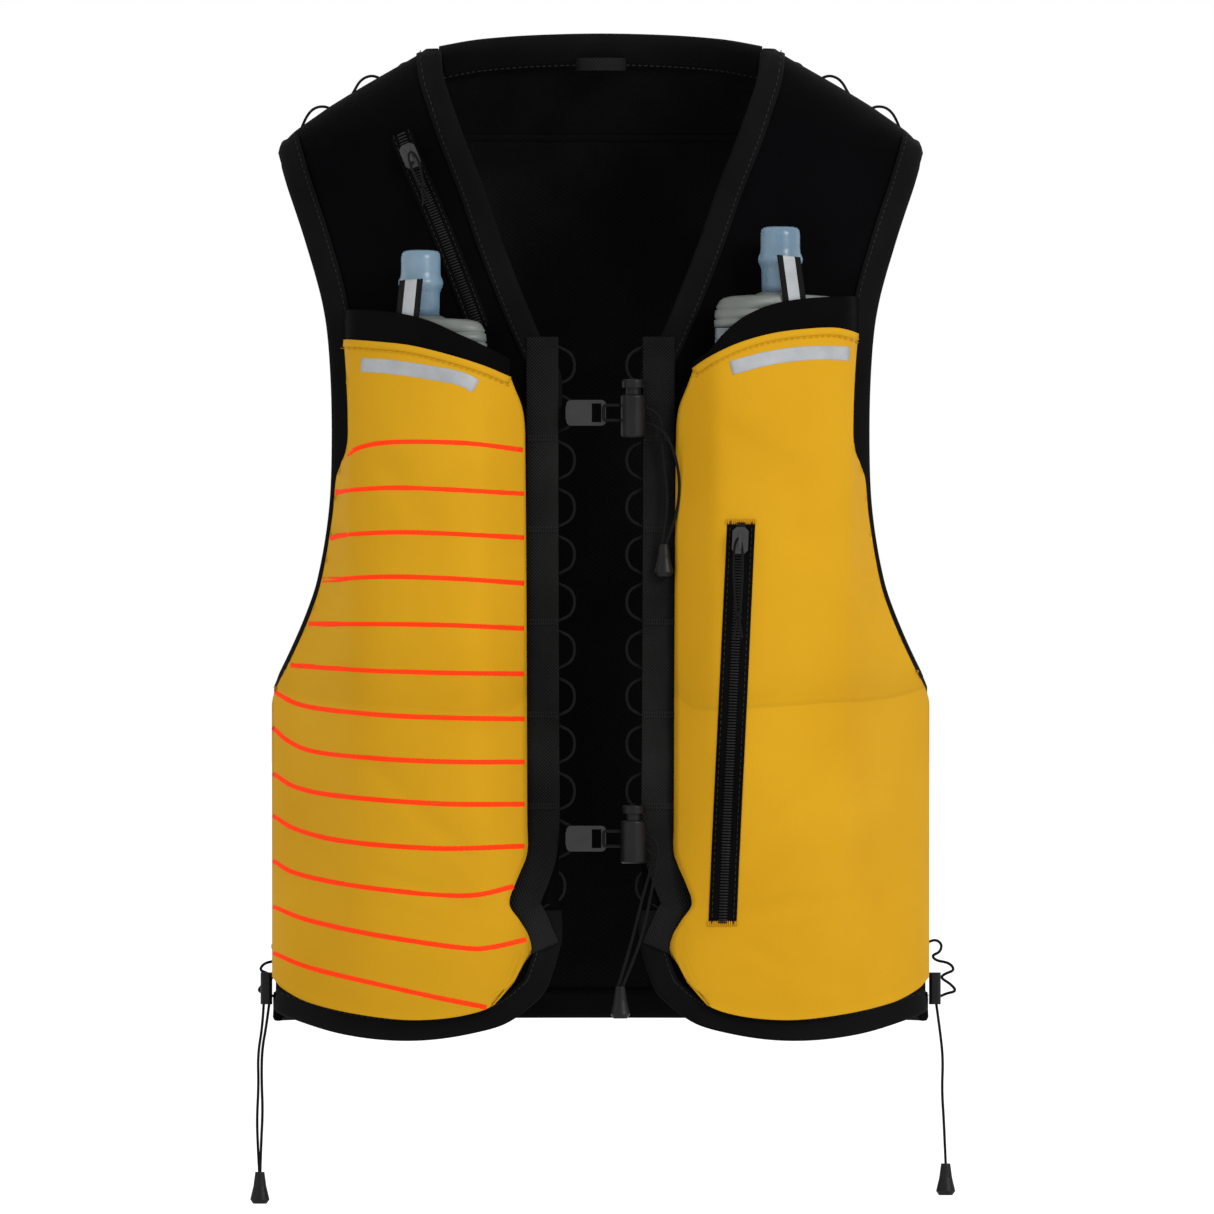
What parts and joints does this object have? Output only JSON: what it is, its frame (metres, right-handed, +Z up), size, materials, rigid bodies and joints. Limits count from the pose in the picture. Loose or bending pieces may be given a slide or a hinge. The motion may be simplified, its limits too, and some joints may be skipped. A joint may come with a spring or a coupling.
{
  "type": "hydration pack",
  "caption": "Sleeveless running hydration vest with yellow chest flask pockets, orange stripes, zips, webbing ladders and two hook and cord closures",
  "frame": {"origin": "Between the shoulders, level with the points of the shoulders that carry the vest.", "axes": "+Z up, the front of the vest faces -Y, +X is the wearer's left."},
  "size_m": [0.3324, 0.2247, 0.5491],
  "materials": {
    "yellow_cloth": "matte woven ripstop, soft sheen",
    "black_elastic": "ribbed elastic band",
    "flask_film": "soft translucent film",
    "grey_plastic": "ribbed moulded cap",
    "valve_silicone": "translucent pale blue silicone",
    "reflective_tape": "grey reflective tape, black edges",
    "gunmetal": "gunmetal paint",
    "spring_steel": "drawn wire",
    "hook_plastic": "satin moulded",
    "black_plastic": "fine moulded texture",
    "black_webbing": "coarse woven webbing",
    "black_tape": "zip tape and coil",
    "black_cord": "braided elastic cord",
    "black_binding": "knit binding, lockstitched",
    "black_mesh": "spacer mesh with rows of holes",
    "black_knit": "ribbed knit",
    "black_stretch": "stretch mesh",
    "black_cloth": "smooth stretch cloth"
  },
  "bodies": {
    "back": {"back_panel": "black_mesh", "back_yoke": "black_knit", "neck_binding": "black_binding", "rear_armhole_bindings": "black_binding", "rear_hem_binding": "black_binding", "rear_pocket": "black_stretch", "hang_loop": "black_binding", "shoulder_cords": "black_cord", "right_adjuster_lock": "black_plastic", "left_adjuster_lock": "black_plastic", "right_adjuster_cord_front": "black_cord", "right_adjuster_cord_rear": "black_cord", "left_adjuster_cord": "black_cord", "right_adjuster_toggle": "black_plastic", "left_adjuster_toggle": "black_plastic"},
    "right_front": {"right_front_panel": "black_cloth", "right_front_armhole_binding": "black_binding", "right_front_edge_binding": "black_binding", "right_daisy_webbing": "black_webbing", "right_ladder_cord": "black_cord", "right_pocket_shell": "yellow_cloth", "right_pocket_band": "black_elastic", "right_flask_tab": "reflective_tape", "shoulder_zip_tape": "black_tape"},
    "right_flask": {"right_flask_body": "flask_film"},
    "right_cap": {"right_flask_cap": "grey_plastic", "right_bite_valve": "valve_silicone"},
    "left_front": {"left_front_panel": "black_cloth", "left_front_armhole_binding": "black_binding", "left_front_edge_binding": "black_binding", "left_daisy_webbing": "black_webbing", "left_ladder_cord": "black_cord", "left_pocket_shell": "yellow_cloth", "left_pocket_band": "black_elastic", "left_flask_tab": "reflective_tape", "chest_zip_tape": "black_tape", "upper_closure_cord": "black_cord", "upper_lock_body": "black_plastic", "upper_spring": "spring_steel", "upper_tail_front": "black_cord", "upper_tail_rear": "black_cord", "upper_tail_toggle": "black_plastic", "lower_closure_cord": "black_cord", "lower_lock_body": "black_plastic", "lower_spring": "spring_steel", "lower_tail_front": "black_cord", "lower_tail_rear": "black_cord", "lower_tail_toggle": "black_plastic"},
    "left_flask": {"left_flask_body": "flask_film"},
    "left_cap": {"left_flask_cap": "grey_plastic", "left_bite_valve": "valve_silicone"},
    "upper_hook": {"upper_hook": "hook_plastic"},
    "upper_plunger": {"upper_plunger": "black_plastic"},
    "lower_hook": {"lower_hook": "hook_plastic"},
    "lower_plunger": {"lower_plunger": "black_plastic"},
    "chest_slider": {"chest_zip_slider": "gunmetal"},
    "chest_pull": {"chest_zip_pull": "black_cord"},
    "shoulder_slider": {"shoulder_zip_slider": "gunmetal", "shoulder_zip_pull": "black_cord"}
  },
  "joints": [
    {"name": "right_front_swing", "type": "hinge", "parent": "back", "child": "right_front", "pos_m": [-0.1565, 0, -0.2], "axis": [0, 0, -1], "range_deg": [0, 30]},
    {"name": "left_front_swing", "type": "hinge", "parent": "back", "child": "left_front", "pos_m": [0.1565, 0, -0.2], "axis": [0, 0, 1], "range_deg": [0, 30]},
    {"name": "right_flask_slide", "type": "slide", "parent": "right_front", "child": "right_flask", "axis": [0, 0, 1], "range_m": [0, 0.15]},
    {"name": "right_cap_turn", "type": "hinge", "parent": "right_flask", "child": "right_cap", "pos_m": [-0.084, -0.097, -0.1], "axis": [0, 0, 1], "continuous": true},
    {"name": "left_flask_slide", "type": "slide", "parent": "left_front", "child": "left_flask", "axis": [0, 0, 1], "range_m": [0, 0.15]},
    {"name": "left_cap_turn", "type": "hinge", "parent": "left_flask", "child": "left_cap", "pos_m": [0.084, -0.097, -0.1], "axis": [0, 0, 1], "continuous": true},
    {"name": "chest_zip_slide", "type": "slide", "parent": "left_front", "child": "chest_slider", "axis": [-0.0457, 0.0057, -0.9989], "range_m": [0, 0.166]},
    {"name": "chest_pull_swing", "type": "hinge", "parent": "chest_slider", "child": "chest_pull", "pos_m": [0.06518, -0.12494, -0.20607], "axis": [-0.999, 0, 0.0457], "range_deg": [0, 80]},
    {"name": "shoulder_zip_slide", "type": "slide", "parent": "right_front", "child": "shoulder_slider", "axis": [0.3652, -0.3238, -0.8728], "range_m": [0, 0.062]},
    {"name": "upper_hook_turn", "type": "hinge", "parent": "left_front", "child": "upper_hook", "pos_m": [0.0014, -0.1005, -0.1476], "axis": [0, 0, 1], "range_deg": [0, 60]},
    {"name": "upper_lock_press", "type": "slide", "parent": "left_front", "child": "upper_plunger", "axis": [0, 0, -1], "range_m": [0, 0.003], "stiffness_N_per_m": 300, "deforming": ["upper_spring"]},
    {"name": "lower_hook_turn", "type": "hinge", "parent": "left_front", "child": "lower_hook", "pos_m": [0.0014, -0.1005, -0.3465], "axis": [0, 0, 1], "range_deg": [0, 60]},
    {"name": "lower_lock_press", "type": "slide", "parent": "left_front", "child": "lower_plunger", "axis": [0, 0, -1], "range_m": [0, 0.003], "stiffness_N_per_m": 300, "deforming": ["lower_spring"]}
  ],
  "couplings": [
    {"joint": "left_front_swing", "follows": "right_front_swing", "ratio": 1}
  ]
}
